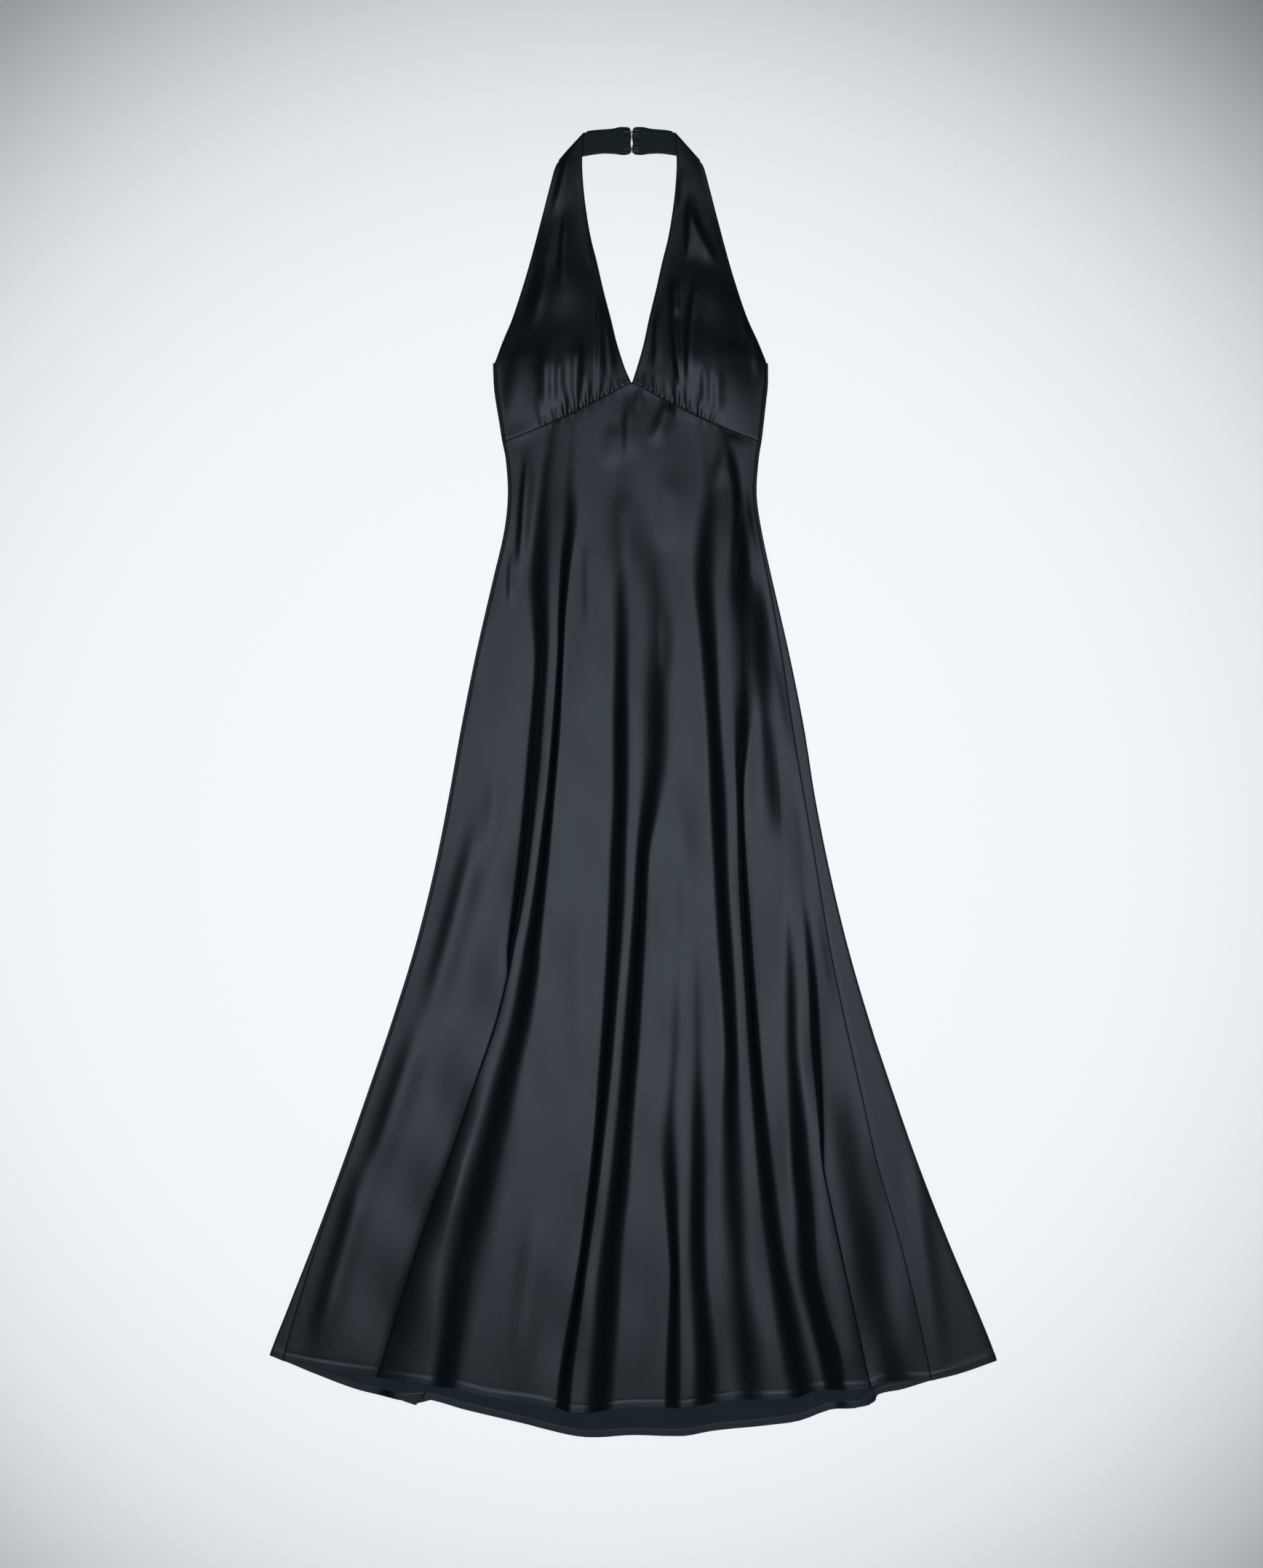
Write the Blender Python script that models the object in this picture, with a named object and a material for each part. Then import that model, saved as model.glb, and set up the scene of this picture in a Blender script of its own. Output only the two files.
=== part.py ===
"""A halter-neck maxi slip dress of black satin, laid flat on its back.

+Y points to the neck, +X to the right as seen from above, and the surface that it lies on is z = 0.
The origin is under the middle of the dress. Tables are in millimetres: "down" is the distance below
the top of the neck band, and left and right are as seen from above.
"""
import math

import bpy
from mathutils import Vector

MM = 0.001
LENGTH = 1.530
CLOTH = 0.0012
SEAM_GAP = 0.0006

FLOOR_LEVEL = CLOTH / 2
FRONT_LEVEL = 0.0030
EDGE_TURN = (FRONT_LEVEL - FLOOR_LEVEL) / 2
POINT_X = -0.0020

SKIRT_ROWS = 21
BACK_TOP_ROWS = 4
BACK_DIP = 0.034
BACK_DIP_REACH = 0.135
FLAT_CREST = 0.0010
LIFT_SHARE = 1.1
LIFT_LEAD = 0.012
LIFT_SLOPE = 0.032

STRAP_TOP_DOWN = 0.040
STRAP_SLANT = 0.033
UNDERARM_DOWN = 0.276
CUP_ROWS_ABOVE = 9
CUP_ROWS_BELOW = 7
CUP_PLAIN_COLUMNS = 6
CUP_END_COLUMNS = 2
GATHERS = 13
GATHERS_FROM = 0.36
GATHERS_TO = 0.94
GATHER_DEPTH = 0.0018
GATHER_LENGTH = 0.55
CUP_SEAM_CROWDING = 1.6

BAND_THICK = 0.0020
BAND_MIDDLE_X = -0.0019
BAND_END = 0.0021
BAND_COLUMNS = 8
BAND_ROWS = 4
BAND_INSET = 0.0006

WIRE = 0.00035
HOOK_DOWNS = {"upper": 0.006, "lower": 0.026}
HOOK_TOP = 0.0030
HOOK_TIP = 0.0011
EYE_BAR = 0.00205
HOOK_NOSE_OUT = 0.0004
HOOK_TIP_IN = 0.0010
FASTENER_REACH = 0.0085
EYE_HALF_WIDTH = 0.0018
EYE_LOOP_OUT = 0.0016
EYE_LEG_OUT = 0.0026
REST_GAP = 0.0003
EDGE_TURN_STEPS = 4
SHARP_FROM = math.radians(50)


def table(columns, *rows):
    """A table of millimetres, as lists of metres by column name."""
    names = columns.split()
    return {name: [row[k] * MM for row in rows] for k, name in enumerate(names)}


# The laid outline and the side seams, as distances to each side of the middle.
SIDES = table(
    "down left_edge right_edge left_seam right_seam",
    (276, 164.0, 157.4, 161.9, 155.3),
    (302, 163.0, 157.2, 160.0, 154.3),
    (319, 161.0, 155.4, 158.0, 152.3),
    (344, 156.8, 152.6, 153.7, 149.5),
    (366, 153.4, 150.0, 150.3, 146.9),
    (387, 149.2, 146.6, 146.1, 143.5),
    (429, 146.6, 144.1, 143.5, 141.0),
    (472, 150.9, 150.0, 147.8, 146.8),
    (531, 164.5, 162.8, 161.4, 158.5),
    (616, 184.0, 182.3, 180.9, 173.6),
    (701, 201.0, 199.3, 197.9, 186.6),
    (786, 216.3, 212.9, 213.2, 200.8),
    (871, 233.3, 229.9, 230.2, 215.5),
    (956, 254.6, 250.3, 251.5, 229.8),
    (1041, 280.9, 275.0, 277.8, 247.4),
    (1126, 309.8, 303.0, 306.6, 266.5),
    (1211, 339.6, 332.8, 336.0, 285.7),
    (1296, 371.0, 365.9, 367.0, 310.5),
    (1381, 404.2, 401.6, 393.6, 331.8),
    (1434, 424.6, 422.6, 408.5, 343.0),
    (1464, 430.0, 430.0, 413.0, 348.9),
)

# The pointed seam under the bust, by distance from its point.
UNDERBUST = table(
    "out down",
    (0, 297.5), (15, 304.5), (36, 316.5), (57, 327), (80, 338.5), (111, 351.5), (148.5, 366),
)

FRONT_HEM = table(
    "x down",
    (-409, 1440.5), (-352, 1451), (-299, 1458), (-272, 1460.5), (-206, 1473), (-172, 1482),
    (-117, 1490), (-70, 1498.5), (-43, 1498.5), (-5, 1495), (53, 1494), (114, 1486),
    (187, 1482.5), (207, 1477), (238, 1473), (279, 1470.5), (285, 1464.5), (349, 1463.4),
)

BACK_HEM = table(
    "x down",
    (-424.6, 1434), (-399, 1444.5), (-374, 1455), (-323, 1474), (-272, 1486), (-249.5, 1492.5),
    (-245.5, 1485), (-196, 1498), (-128, 1514), (-60, 1529.6), (-1, 1527.5), (59, 1528.5),
    (93, 1522.5), (161, 1515.5), (195, 1510.5), (229, 1498), (263, 1494.5), (280, 1489.5),
    (285, 1480.5), (314, 1474), (348, 1463.6), (382, 1455), (424.6, 1440),
)

# Each fold runs down the skirt. A width is that of the slope beside its crest, and one below
# nothing is how far the cloth is folded back under the crest.
LEFT_FOLD = table(
    "down crest height left right",
    (300, -75, 0.2, 22, 22),
    (480, -86, 1.0, 24, 22),
    (574, -93, 5.0, 27, 22),
    (640, -96.5, 8.0, 29, 22),
    (735, -104, 10.0, 29, 22),
    (857, -114, 11.0, 24, 24),
    (952, -137, 11.0, 12, 34),
    (1000, -150, 11.0, 2, 48),
    (1052, -166, 10.0, -5, 38),
    (1130, -191, 9.0, -12, 32),
    (1284, -247, 8.0, -22, 28),
    (1460, -298, 7.0, -30, 26),
)
CENTRE_FOLD = table(
    "down crest height left right",
    (297.5, -2, 0.2, 24, 24),
    (470, 10, 0.6, 30, 26),
    (541, 12.3, 2.0, 32, 26),
    (637, 10.6, 4.5, 30, 26),
    (701, 3, 7.0, 28, 26),
    (796, -0.4, 9.0, 27, 28),
    (994, -13.2, 10.5, 27, 28),
    (1076, -19.1, 11.0, 26, 28),
    (1204, -31, 12.0, 25, 28),
    (1337, -48.9, 12.0, 24, 30),
    (1500, -60, 12.0, 26, 30),
)
SMALL_FOLD = table(
    "down crest height left right",
    (300, 40, 0.2, 10, 10),
    (470, 56, 0.2, 10, 10),
    (900, 66, 0.2, 14, 14),
    (1068, 64, 2.0, 16, 16),
    (1176, 60, 5.0, 18, 20),
    (1273, 57, 6.5, 18, 22),
    (1500, 52, 7.0, 18, 26),
)
RIGHT_FOLD = table(
    "down crest height left right",
    (330, 78, 0.2, 24, 20),
    (470, 98, 1.0, 28, 20),
    (541, 105, 3.0, 30, 20),
    (605, 109, 5.5, 32, 20),
    (685, 114, 8.0, 32, 20),
    (765, 113, 9.0, 28, 22),
    (910, 119, 9.5, 24, 26),
    (1076, 132, 10.0, 24, 24),
    (1224, 141, 9.5, 26, 32),
    (1298, 148, 9.0, 30, 36),
    (1490, 178, 8.0, 34, 36),
)
OUTER_FOLD = table(
    "down crest height left right",
    (340, 122, 0.2, 12, 10),
    (470, 132, 0.2, 12, 10),
    (616, 150, 0.2, 14, 12),
    (786, 178, 0.3, 18, 14),
    (931, 202, 2.5, 22, 16),
    (1000, 203, 5.0, 26, 20),
    (1076, 211, 7.0, 28, 18),
    (1160, 219, 8.0, 30, 8),
    (1215, 226.5, 8.0, 32, 0),
    (1264, 239, 7.5, 34, -8),
    (1372, 263, 7.0, 36, -17),
    (1480, 283, 6.5, 36, -22),
)
BACK_LEFT_FOLD = table(
    "down crest height left right",
    (366, -60, 0.02, 20, 20),
    (900, -110, 0.02, 24, 20),
    (1080, -150, 0.5, 26, 18),
    (1160, -172, 3.0, 28, 10),
    (1230, -190, 5.0, 30, 0),
    (1330, -213, 5.2, 30, -12),
    (1495, -247, 5.2, 30, -25),
)
BACK_RIGHT_FOLD = table(
    "down crest height left right",
    (366, 80, 0.02, 20, 20),
    (900, 165, 0.02, 24, 20),
    (1100, 205, 0.5, 26, 18),
    (1180, 222, 3.0, 28, 10),
    (1250, 237, 5.0, 30, 0),
    (1340, 256, 5.2, 30, -10),
    (1490, 284, 5.2, 30, -20),
)

# Shares of each turn of a slope at which the wall has a row of points.
STEEP = (0.3, 0.6, 0.93)
LAYERED = (0.45, 0.9)
GENTLE = (0.5,)
SLIGHT = ()

# A fold's table, the side on which it may fold under, and the points of its two slopes.
FRONT_FOLDS = (
    (LEFT_FOLD, "left", STEEP, GENTLE),
    (CENTRE_FOLD, "neither", GENTLE, GENTLE),
    (SMALL_FOLD, "neither", SLIGHT, SLIGHT),
    (RIGHT_FOLD, "neither", GENTLE, GENTLE),
    (OUTER_FOLD, "right", GENTLE, STEEP),
)
BACK_FOLDS = (
    (BACK_LEFT_FOLD, "right", SLIGHT, LAYERED),
    (BACK_RIGHT_FOLD, "right", SLIGHT, LAYERED),
)
# Strips of the plain cloth before each fold and after the last.
FRONT_STRIPS = (4, 2, 1, 1, 1, 2)
BACK_STRIPS = (4, 8, 4)

# The bodice sways a little to the left of the skirt's middle.
SWAY = table("down shift", (0, -4.6), (200, -4.2), (276, -3.0), (300, -2.0), (366, -1.7))

# The edges of a cup, as distances from the bodice's middle.
ARMHOLE = table(
    "down out",
    (40, 82.9), (55, 88.4), (72, 93.5), (106, 102.4), (157, 116), (191, 126.2), (225, 137.7),
    (251, 149), (276, 158.6),
)
NECKLINE = table(
    "down out",
    (7, 52), (37, 55.2), (72, 53.6), (106, 49.3), (132, 44.6), (157, 38.3), (191, 30.6),
    (225, 22.1), (251, 16.2), (276, 8.5), (297.5, 0.8),
)
# How high a cup's edges lie and how far its middle domes above them, by the armhole's place.
CUP_RISE = table(
    "down level dome",
    (40, 3.2, 0.4), (61, 3.2, 1.0), (83, 2.5, 1.8), (106, 1.4, 2.8), (132, 0.9, 4.0),
    (157, 0.9, 5.5), (206, 1.2, 9.5), (249, 2.2, 13.5), (276, 3.0, 15.0), (305, 3.0, 14.5),
    (330, 3.0, 10.5), (350, 3.0, 5.5), (366, 3.0, 1.6),
)

# The neck band's edges, by distance from where its two ends meet.
BAND_TOP = table("out down", (2.1, 1.6), (5, 0), (14, 0), (22, 1.7), (48, 4.3), (52, 7))
BAND_FOOT = table("out down", (2.1, 31), (6, 32.3), (12, 32.5), (20, 31.3), (35, 31), (57, 34.3), (84, 40))


def read(rows, column, place):
    """A smooth curve through one column of a table, at a place in the table's first column."""
    places, values = next(iter(rows.values())), rows[column]
    place = min(max(place, places[0]), places[-1])
    last = len(places) - 1
    k = max(i for i in range(last) if places[i] <= place)

    def slope(i):
        i = min(max(i, 0), last)
        before, after = max(i - 1, 0), min(i + 1, last)
        return (values[after] - values[before]) / (places[after] - places[before])

    span = places[k + 1] - places[k]
    t = (place - places[k]) / span
    bend_start = (2 * t**3 - 3 * t**2 + 1) * values[k] + (t**3 - 2 * t**2 + t) * span * slope(k)
    bend_end = (3 * t**2 - 2 * t**3) * values[k + 1] + (t**3 - t**2) * span * slope(k + 1)
    return bend_start + bend_end


def between(a, b, share):
    return a + (b - a) * share


def underbust_down(x):
    return read(UNDERBUST, "down", abs(x - POINT_X))


def back_top_down(x):
    across = min(abs(x) / BACK_DIP_REACH, 1)
    return UNDERBUST["down"][-1] + BACK_DIP * (1 - across**2)


def settled(path, down_at):
    """Where a line that runs down the skirt, as x by down, meets one level of the cloth."""
    x = path(UNDERBUST["down"][-1])
    for _ in range(8):
        x = path(down_at(x))
    return x


def slope_points(width, height, shares):
    """A fold's slope from its foot at (0, 0) up to its crest.

    Two equal arcs turn the cloth up and then level. With a width below nothing each is a half turn,
    and the straight cloth between them lies folded back.
    """
    turn = 2 * math.atan2(height, width) if width > 0 else math.pi
    radius = height / (2 * (1 - math.cos(turn)))
    straight = max(-width, 0)
    arc = [(radius * math.sin(turn * s), radius * (1 - math.cos(turn * s))) for s in (0, *shares)]
    across = 2 * radius * math.sin(turn) + straight * math.cos(turn)
    middle = [(across / 2, height / 2)]
    return arc + middle + [(across - x, height - z) for x, z in reversed(arc)]


def overhang(width, height):
    """How far a slope's turn bulges past its ends once it leans over."""
    turn = 2 * math.atan2(height, width) if width > 0 else math.pi
    return height / (2 * (1 - math.cos(turn))) * max(-math.cos(turn), 0)


def fold_points(fold, down_at):
    """One fold's points in (x, height) from its left foot to its right foot."""
    rows, steep, left_shares, right_shares = fold
    crest = settled(lambda down: read(rows, "crest", down), down_at)
    height, left, right = (read(rows, name, down_at(crest)) for name in ("height", "left", "right"))
    start, end = crest - FLAT_CREST / 2, crest + FLAT_CREST / 2
    if steep == "left":
        start = crest + overhang(left, height)
        end = start + FLAT_CREST + max(-left, 0) + overhang(left, height)
    if steep == "right":
        end = crest - overhang(right, height)
        start = end - FLAT_CREST - max(-right, 0) - overhang(right, height)
    rise = slope_points(left, height, left_shares)
    fall = slope_points(right, height, right_shares)
    up = [(start - rise[-1][0] + x, z) for x, z in rise]
    down = [(end + fall[-1][0] - x, z) for x, z in reversed(fall)]
    return up + down


def strip_points(x_from, x_to, count):
    """Points of plain cloth between two places, without the places themselves."""
    return [(between(x_from, x_to, k / count), 0) for k in range(1, count)]


def folded_line(x_left, x_right, folds, strips, down_at):
    """Points in (x, height) across folded cloth, with both ends."""
    line = [(x_left, 0)]
    for fold, count in zip(folds, strips):
        points = fold_points(fold, down_at)
        line += strip_points(line[-1][0], points[0][0], count) + points
    line += strip_points(line[-1][0], x_right, strips[-1])
    return line + [(x_right, 0)]


def eased(share):
    share = min(max(share, 0), 1)
    return share * share * (3 - 2 * share)


def lift_over_back(x, down):
    """How far the front is lifted by the folded layers of the back under it."""
    lift = 0
    for rows, *_ in BACK_FOLDS:
        crest, height, left, right = (
            read(rows, name, down) for name in ("crest", "height", "left", "right")
        )
        foot = crest - left + min(right, 0)
        rise = eased((x - foot + LIFT_LEAD) / LIFT_SLOPE)
        fall = eased((crest + LIFT_LEAD + LIFT_SLOPE - x) / LIFT_SLOPE)
        lift += LIFT_SHARE * height * rise * fall
    return lift


def at(x, down, z):
    """The place of a point given by its distance below the neck band's top."""
    return Vector((x, LENGTH / 2 - down, z))


def grid_normal(grid, i, j):
    rows, columns = len(grid), len(grid[0])
    along = grid[min(i + 1, rows - 1)][j] - grid[max(i - 1, 0)][j]
    across = grid[i][min(j + 1, columns - 1)] - grid[i][max(j - 1, 0)]
    return across.cross(along).normalized()


def cloth_material(name, colour, roughness, metallic=0.0):
    material = bpy.data.materials.new(name)
    material.use_nodes = True
    shader = material.node_tree.nodes["Principled BSDF"]
    shader.inputs["Base Color"].default_value = (*colour, 1)
    shader.inputs["Roughness"].default_value = roughness
    shader.inputs["Metallic"].default_value = metallic
    return material


def wall(name, grid, thickness, material):
    """A closed wall of cloth whose middle runs through a grid of points."""
    rows, columns = len(grid), len(grid[0])
    half = thickness / 2
    shifts = [[grid_normal(grid, i, j) * half for j in range(columns)] for i in range(rows)]
    points = [grid[i][j] + shifts[i][j] for i in range(rows) for j in range(columns)]
    points += [grid[i][j] - shifts[i][j] for i in range(rows) for j in range(columns)]
    under = rows * columns
    faces = []
    for i in range(rows - 1):
        for j in range(columns - 1):
            a, b = i * columns + j, i * columns + j + 1
            c, d = b + columns, a + columns
            faces.append((a, b, c, d))
            faces.append((under + d, under + c, under + b, under + a))
    rim = [j for j in range(columns)]
    rim += [i * columns + columns - 1 for i in range(1, rows)]
    rim += [(rows - 1) * columns + j for j in reversed(range(columns - 1))]
    rim += [i * columns for i in reversed(range(1, rows - 1))]
    for a, b in zip(rim, rim[1:] + rim[:1]):
        faces.append((b, a, under + a, under + b))
    mesh = bpy.data.meshes.new(name)
    mesh.from_pydata([tuple(p) for p in points], [], faces)
    mesh.update()
    if signed_volume(mesh) < 0:
        mesh.flip_normals()
    mesh.shade_smooth()
    mesh.set_sharp_from_angle(angle=SHARP_FROM)
    mesh.materials.append(material)
    piece = bpy.data.objects.new(name, mesh)
    bpy.context.scene.collection.objects.link(piece)
    return piece


def signed_volume(mesh):
    """Above nothing when a closed mesh has its faces pointing out."""
    mesh.calc_loop_triangles()
    corners = [[mesh.vertices[v].co for v in t.vertices] for t in mesh.loop_triangles]
    return sum(a.dot(b.cross(c)) for a, b, c in corners) / 6


def seam_x(side, down):
    return {"left": -1, "right": 1}[side] * read(SIDES, side + "_seam", down)


def edge_x(side, down):
    return {"left": -1, "right": 1}[side] * read(SIDES, side + "_edge", down)


def make_skirt_front(material):
    """The front panel, from the seam under the bust to its hem, with five folds."""
    grid = []
    for row in range(SKIRT_ROWS + 1):
        share = row / SKIRT_ROWS

        def down_at(x, share=share):
            top = underbust_down(x) + SEAM_GAP / 2
            return between(top, read(FRONT_HEM, "down", x), share)

        left = settled(lambda down: seam_x("left", down), down_at) + SEAM_GAP / 2
        right = settled(lambda down: seam_x("right", down), down_at) - SEAM_GAP / 2
        line = folded_line(left, right, FRONT_FOLDS, FRONT_STRIPS, down_at)
        level = [(x, down_at(x), FRONT_LEVEL + z) for x, z in line]
        grid.append([at(x, down, z + lift_over_back(x, down)) for x, down, z in level])
    return wall("skirt_front", grid, CLOTH, material)


def wrapped_edge(side, down_at):
    """The back's cloth from a side seam on top, round the folded edge, to the surface below."""
    sign = {"left": -1, "right": 1}[side]
    seam = settled(lambda down: seam_x(side, down), down_at) + sign * SEAM_GAP / 2
    edge = settled(lambda down: edge_x(side, down), down_at)
    middle = edge - sign * (CLOTH / 2 + EDGE_TURN)
    turn = [math.pi * k / EDGE_TURN_STEPS for k in range(EDGE_TURN_STEPS + 1)]
    rise = FRONT_LEVEL - EDGE_TURN
    bend = [(middle + sign * EDGE_TURN * math.sin(a), rise + EDGE_TURN * math.cos(a)) for a in turn]
    return [(seam, FRONT_LEVEL)] + bend


def back_row(down_at):
    """One row of points of the back panel, from seam to seam through its two folds."""
    left = wrapped_edge("left", down_at)
    right = wrapped_edge("right", down_at)
    under = folded_line(left[-1][0], right[-1][0], BACK_FOLDS, BACK_STRIPS, down_at)
    across = left + [(x, FLOOR_LEVEL + z) for x, z in under[1:-1]] + right[::-1]
    return [at(x, down_at(x), z) for x, z in across]


def make_skirt_back(material):
    """The back panel, from the low back edge to the hem. It wraps round both sides."""
    grid = []
    for row in range(BACK_TOP_ROWS):
        share = row / BACK_TOP_ROWS

        def bodice_down(x, share=share):
            across = min(abs(x - POINT_X) / UNDERBUST["out"][-1], 1)
            top = between(UNDERBUST["down"][-1], UNDERARM_DOWN, across**4)
            return between(top, back_top_down(x), share)

        grid.append(back_row(bodice_down))
    for row in range(SKIRT_ROWS + 1):
        share = row / SKIRT_ROWS
        grid.append(back_row(lambda x: between(back_top_down(x), read(BACK_HEM, "down", x), share)))
    return wall("skirt_back", grid, CLOTH, material)


def cup_row_ends(row):
    """Where a row of a cup starts at the armhole or side seam, and where it ends at the neckline."""
    waist = UNDERBUST["down"][-1]
    point = NECKLINE["down"][-1]
    inner_corner = UNDERARM_DOWN - STRAP_SLANT
    if row <= CUP_ROWS_ABOVE:
        outer = between(STRAP_TOP_DOWN, UNDERARM_DOWN, row / CUP_ROWS_ABOVE)
        return outer, outer - STRAP_SLANT, 0
    left = (row - CUP_ROWS_ABOVE) / CUP_ROWS_BELOW
    share = 1 - (1 - left) ** CUP_SEAM_CROWDING
    return between(UNDERARM_DOWN, waist, share), between(inner_corner, point, share), share


def cup_columns():
    """Shares of a cup's width, from the armhole to the neckline, two for each gather."""
    plain = [GATHERS_FROM * k / CUP_PLAIN_COLUMNS for k in range(CUP_PLAIN_COLUMNS)]
    halves = 2 * GATHERS
    gathered = [between(GATHERS_FROM, GATHERS_TO, k / halves) for k in range(halves + 1)]
    ends = [between(GATHERS_TO, 1, k / CUP_END_COLUMNS) for k in range(1, CUP_END_COLUMNS + 1)]
    return plain + gathered + ends


def gather_height(u, seam_share):
    """The ripple of the gathers, which fades away from the seam."""
    if not GATHERS_FROM <= u <= GATHERS_TO:
        return 0
    phase = (u - GATHERS_FROM) / (GATHERS_TO - GATHERS_FROM) * GATHERS
    near = max(1 - (1 - seam_share) / GATHER_LENGTH, 0)
    return GATHER_DEPTH * near * math.sin(math.pi * phase) ** 2


def make_cup(side, material):
    """One halter cup, from the diagonal fold at the top of its strap to the seam under the bust."""
    sign = {"left": -1, "right": 1}[side]
    grid = []
    for row in range(CUP_ROWS_ABOVE + CUP_ROWS_BELOW + 1):
        outer_down, inner_down, seam_share = cup_row_ends(row)
        inner_x = read(SWAY, "shift", inner_down) + sign * read(NECKLINE, "out", inner_down)
        if row < CUP_ROWS_ABOVE:
            outer_x = read(SWAY, "shift", outer_down) + sign * read(ARMHOLE, "out", outer_down)
        else:
            outer_x = seam_x(side, outer_down) - sign * SEAM_GAP / 2
        level, dome = (read(CUP_RISE, name, outer_down) for name in ("level", "dome"))
        line = []
        for u in cup_columns():
            x = between(outer_x, inner_x, u)
            down = between(outer_down, inner_down, u)
            chord = between(UNDERBUST["down"][-1], NECKLINE["down"][-1], u)
            down += seam_share**2 * (underbust_down(x) - chord - SEAM_GAP / 2)
            z = level + dome * math.sin(math.pi * u) ** 1.2 + gather_height(u, seam_share)
            line.append(at(x, down, z))
        grid.append(line)
    return wall("cup_" + side, grid, CLOTH, material)


def make_neck_band(side, material):
    """Half of the neck band. It starts under the strap's diagonal fold and ends at the hooks."""
    sign = {"left": -1, "right": 1}[side]
    fold_x = read(SWAY, "shift", 0) - BAND_MIDDLE_X
    reach = {
        "top": NECKLINE["out"][0] + sign * fold_x - BAND_INSET,
        "foot": ARMHOLE["out"][0] + sign * fold_x - 2 * BAND_INSET,
    }
    grid = []
    for column in range(BAND_COLUMNS + 1):
        share = column / BAND_COLUMNS
        top_out = between(BAND_END, reach["top"], share)
        foot_out = between(BAND_END, reach["foot"], share)
        table_share = between(1, BAND_TOP["out"][-1] / reach["top"], share)
        top_down = read(BAND_TOP, "down", top_out * table_share)
        foot_down = read(BAND_FOOT, "down", foot_out)
        line = []
        for row in range(BAND_ROWS + 1):
            across = row / BAND_ROWS
            x = BAND_MIDDLE_X + sign * between(top_out, foot_out, across)
            line.append(at(x, between(top_down, foot_down, across), BAND_THICK / 2))
        grid.append(line)
    return wall("neck_band_" + side, grid, BAND_THICK, material)


def bent_wire(name, points, closed, material):
    """A wire bent through points."""
    curve = bpy.data.curves.new(name, "CURVE")
    curve.dimensions = "3D"
    curve.bevel_depth = WIRE
    curve.bevel_resolution = 1
    curve.use_fill_caps = True
    spline = curve.splines.new("POLY")
    spline.points.add(len(points) - 1)
    for slot, point in zip(spline.points, points):
        slot.co = (*point, 1)
    spline.use_cyclic_u = closed
    curve.materials.append(material)
    piece = bpy.data.objects.new(name, curve)
    bpy.context.scene.collection.objects.link(piece)
    return piece


def make_hook_and_eye(place, down, material):
    """One fastened hook, from the left end of the band, and its eye, from the right end."""
    middle = BAND_MIDDLE_X
    bend = (HOOK_TOP - HOOK_TIP) / 2
    nose = [math.pi * k / 6 for k in range(7)]
    hook = [at(middle - FASTENER_REACH, down, HOOK_TOP)]
    hook += [
        at(middle + HOOK_NOSE_OUT + bend * math.sin(a), down, HOOK_TOP - bend + bend * math.cos(a))
        for a in nose
    ]
    hook += [at(middle - HOOK_TIP_IN, down, HOOK_TIP)]
    bent_wire("hook_" + place, hook, False, material)
    turns = [math.pi * k / 8 for k in range(9)]
    rest = BAND_THICK + REST_GAP + WIRE
    eye = [at(middle + FASTENER_REACH, down - EYE_HALF_WIDTH, rest)]
    eye += [at(middle + EYE_LEG_OUT, down - EYE_HALF_WIDTH, rest)]
    loop_x = middle + EYE_LOOP_OUT
    eye += [
        at(loop_x - EYE_HALF_WIDTH * math.sin(a), down - EYE_HALF_WIDTH * math.cos(a), EYE_BAR)
        for a in turns
    ]
    eye += [at(middle + EYE_LEG_OUT, down + EYE_HALF_WIDTH, rest)]
    eye += [at(middle + FASTENER_REACH, down + EYE_HALF_WIDTH, rest)]
    bent_wire("eye_" + place, eye, False, material)


def main():
    for thing in list(bpy.data.objects):
        bpy.data.objects.remove(thing, do_unlink=True)
    satin = cloth_material("black_satin", (0.018, 0.021, 0.028), 0.34)
    band_satin = cloth_material("band_satin", (0.017, 0.021, 0.025), 0.45)
    steel = cloth_material("grey_steel", (0.55, 0.56, 0.57), 0.35, metallic=1.0)
    make_skirt_back(satin)
    make_skirt_front(satin)
    for side in ("left", "right"):
        make_cup(side, satin)
        make_neck_band(side, band_satin)
    for place, down in HOOK_DOWNS.items():
        make_hook_and_eye(place, down, steel)


main()
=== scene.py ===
# The looks of a halter-neck maxi slip dress of black satin, laid flat on a pale floor.
#
# Tables are in millimetres. "down" is the distance below the neck band's top, and left and right are
# as seen from above. The panels follow the same tables as the solids, on a much finer grid.
import math

import bpy
import numpy as np
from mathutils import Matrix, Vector


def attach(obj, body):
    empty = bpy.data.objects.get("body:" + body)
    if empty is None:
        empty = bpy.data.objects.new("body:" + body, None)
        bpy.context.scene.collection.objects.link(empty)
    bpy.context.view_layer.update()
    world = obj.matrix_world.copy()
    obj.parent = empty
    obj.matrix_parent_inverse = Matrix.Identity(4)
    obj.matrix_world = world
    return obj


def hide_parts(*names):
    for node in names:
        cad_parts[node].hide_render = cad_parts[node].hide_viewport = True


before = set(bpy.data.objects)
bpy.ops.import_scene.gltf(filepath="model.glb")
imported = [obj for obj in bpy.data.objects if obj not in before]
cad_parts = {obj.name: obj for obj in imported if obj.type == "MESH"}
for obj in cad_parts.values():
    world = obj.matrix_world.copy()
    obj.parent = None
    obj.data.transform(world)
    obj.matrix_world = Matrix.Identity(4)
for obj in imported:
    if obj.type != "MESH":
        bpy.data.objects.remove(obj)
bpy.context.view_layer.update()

MM = 0.001
LENGTH = 1.530
CLOTH = 0.0008
HEM_CLOTH = 0.0016
FLOOR_LEVEL = 0.0006
FRONT_LEVEL = 0.0030
EDGE_TURN = (FRONT_LEVEL - FLOOR_LEVEL) / 2
POINT_X = -0.0020

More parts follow.
